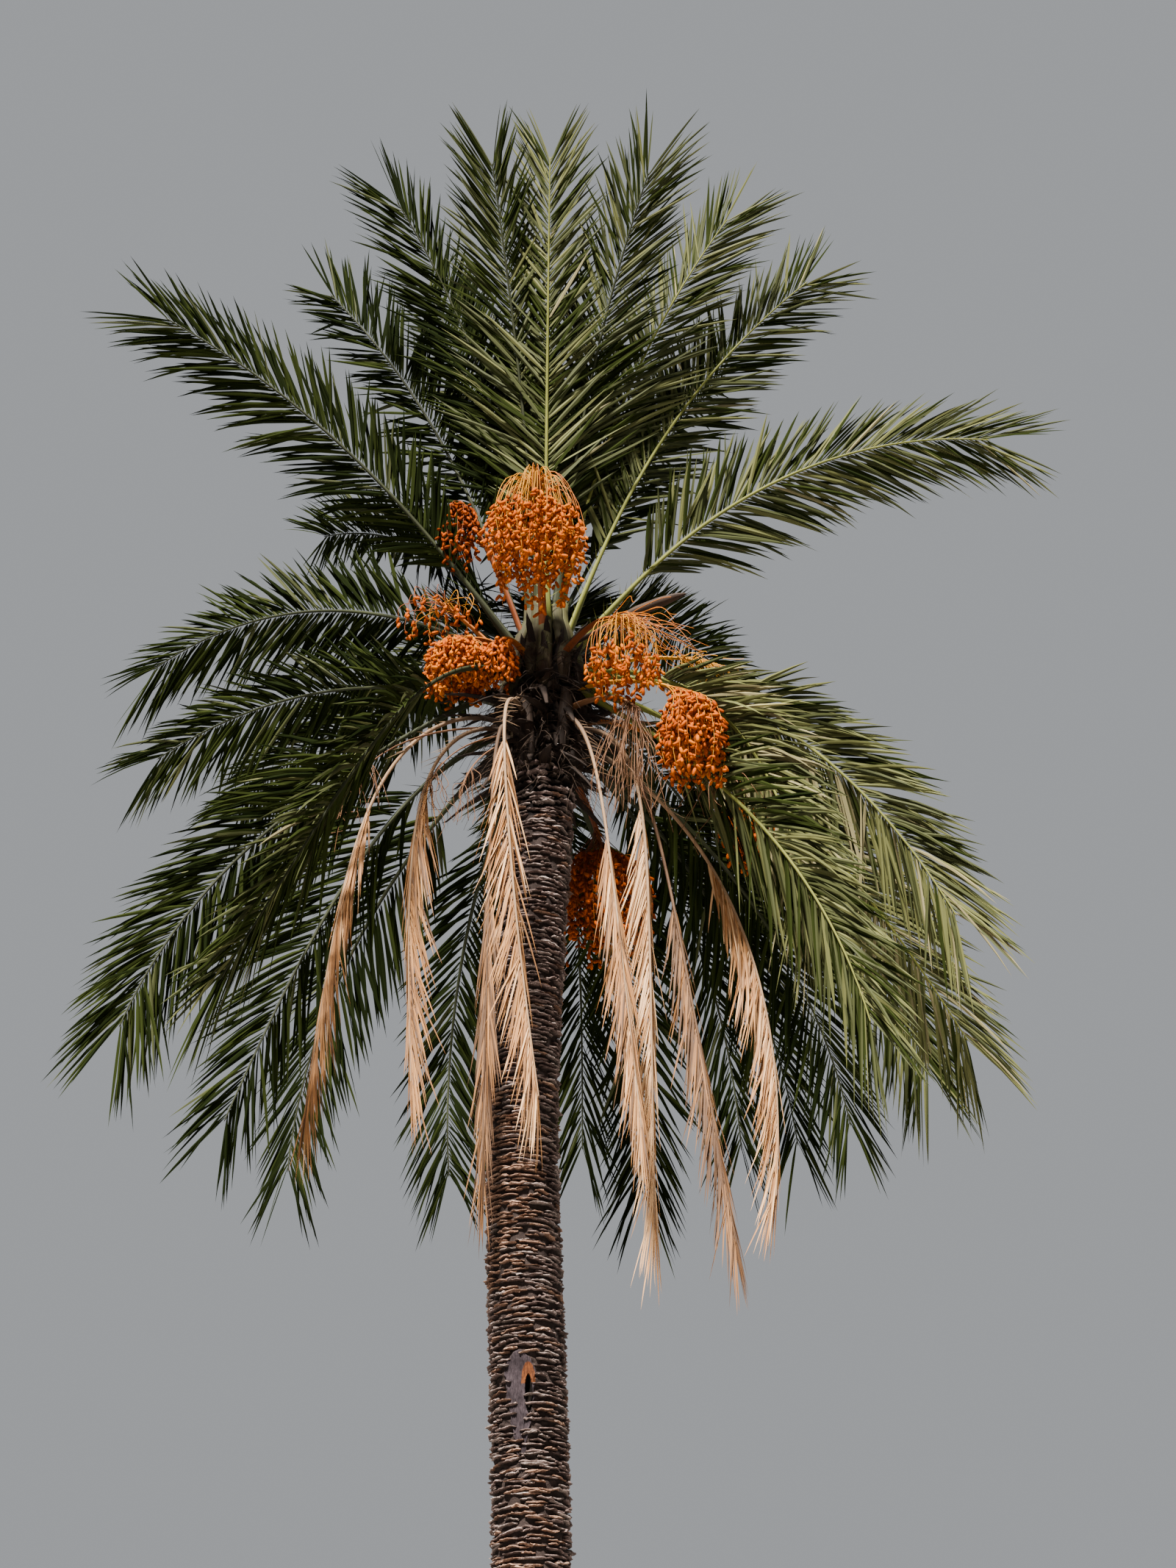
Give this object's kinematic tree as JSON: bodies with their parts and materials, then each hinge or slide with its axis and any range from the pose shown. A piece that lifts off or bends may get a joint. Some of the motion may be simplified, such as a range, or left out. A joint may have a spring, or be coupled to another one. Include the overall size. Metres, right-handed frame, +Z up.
{
  "type": "date palm tree",
  "caption": "Mature date palm: one tall trunk of leaf scars, a crown of arching feather fronds, hanging dry fronds and orange fruit bunches, rooted in the ground.",
  "frame": {"origin": "centre of the trunk's flat cut at ground level", "axes": "+Z up the trunk, +X to the right of the front view, +Y away from the viewer; -Y is the tree's front"},
  "size_m": [6.0589, 4.8331, 13.2652],
  "materials": {
    "bark": "rough grey-brown leaf scars",
    "green_frond": "matt grey-green leaf",
    "dry_frond": "matt straw",
    "fruit": "waxy orange fruit",
    "dry_sheath": "dry brown"
  },
  "bodies": {
    "root": {"dead_frond_1": "dry_frond", "dead_frond_1_outer": "dry_frond", "dead_frond_2": "dry_frond", "dead_frond_2_outer": "dry_frond", "dead_frond_3": "dry_frond", "dead_frond_4": "dry_frond", "dead_frond_5": "dry_frond", "dead_frond_6": "dry_frond", "dead_frond_7": "dry_frond", "dead_frond_8": "dry_frond", "drooping_frond_1": "green_frond", "drooping_frond_10": "green_frond", "drooping_frond_11": "green_frond", "drooping_frond_2": "green_frond", "drooping_frond_3": "green_frond", "drooping_frond_4": "green_frond", "drooping_frond_5": "green_frond", "drooping_frond_6": "green_frond", "drooping_frond_7": "green_frond", "drooping_frond_8": "green_frond", "drooping_frond_9": "green_frond", "dry_sheath": "dry_sheath", "fruit_bunch_1": "fruit", "fruit_bunch_2": "fruit", "fruit_bunch_3": "fruit", "fruit_bunch_4": "fruit", "fruit_bunch_5": "fruit", "fruit_bunch_6": "fruit", "fruit_bunch_7": "fruit", "fruit_bunch_8": "fruit", "fruit_bunch_9": "fruit", "low_frond_1": "green_frond", "low_frond_2": "green_frond", "low_frond_3": "green_frond", "low_frond_4": "green_frond", "low_frond_5": "green_frond", "low_frond_5_outer": "green_frond", "low_frond_6": "green_frond", "low_frond_6_outer": "green_frond", "low_frond_7": "green_frond", "low_frond_8": "green_frond", "spreading_frond_1": "green_frond", "spreading_frond_2": "green_frond", "spreading_frond_3": "green_frond", "spreading_frond_4": "green_frond", "spreading_frond_5": "green_frond", "spreading_frond_6": "green_frond", "spreading_frond_7": "green_frond", "trunk": "bark", "upright_frond_1": "green_frond", "upright_frond_10": "green_frond", "upright_frond_11": "green_frond", "upright_frond_2": "green_frond", "upright_frond_3": "green_frond", "upright_frond_4": "green_frond", "upright_frond_5": "green_frond", "upright_frond_6": "green_frond", "upright_frond_7": "green_frond", "upright_frond_8": "green_frond", "upright_frond_9": "green_frond"}
  },
  "joints": []
}
